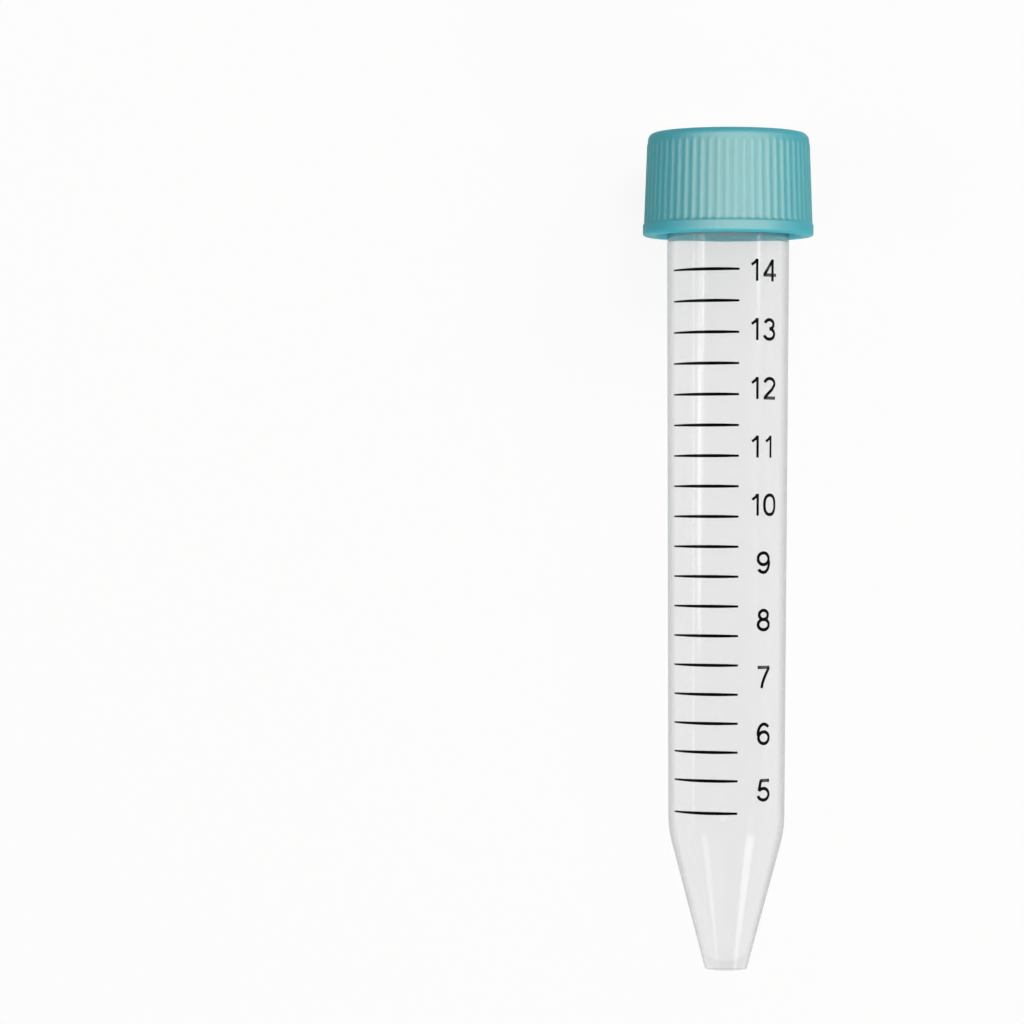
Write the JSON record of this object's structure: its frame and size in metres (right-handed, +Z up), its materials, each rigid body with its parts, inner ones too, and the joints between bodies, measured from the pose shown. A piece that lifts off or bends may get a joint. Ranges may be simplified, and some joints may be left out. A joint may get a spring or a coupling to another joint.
{
  "type": "15 ml conical tube",
  "caption": "Clear plastic tube with a conical tip, a printed scale and a ribbed turquoise screw cap, closed and lying on its side.",
  "frame": {"origin": "on the ground under the middle of the closed tube as it lies on its side", "axes": "+Z up; +Y from the tip towards the cap, along the tube seen from above; the printed scale faces up. The tube's own axis leans 2.7 degrees up towards the cap, because it rests on the lip of the cap and the shoulder of the cone"},
  "size_m": [0.0244, 0.1196, 0.0243],
  "materials": {
    "clear_polypropylene": "clear, smooth moulded",
    "turquoise_polyethylene": "satin moulded",
    "white_elastomer": "matte, soft",
    "black_ink": "printed"
  },
  "bodies": {
    "tube": {"tube": "clear_polypropylene"},
    "seal": {"seal_liner": "white_elastomer"},
    "cap": {"cap": "turquoise_polyethylene"}
  },
  "joints": [
    {"name": "cap_rise", "type": "slide", "parent": "tube", "child": "seal", "axis": [0, 0.9989, 0.047], "range_m": [0, 0.006]},
    {"name": "cap_turn", "type": "hinge", "parent": "seal", "child": "cap", "pos_m": [0, 0.05022, 0.01239], "axis": [0, 0.9989, 0.047], "range_deg": [0, 720]}
  ],
  "couplings": [
    {"joint": "cap_rise", "follows": "cap_turn", "m_per_rad": 0.00047746}
  ]
}
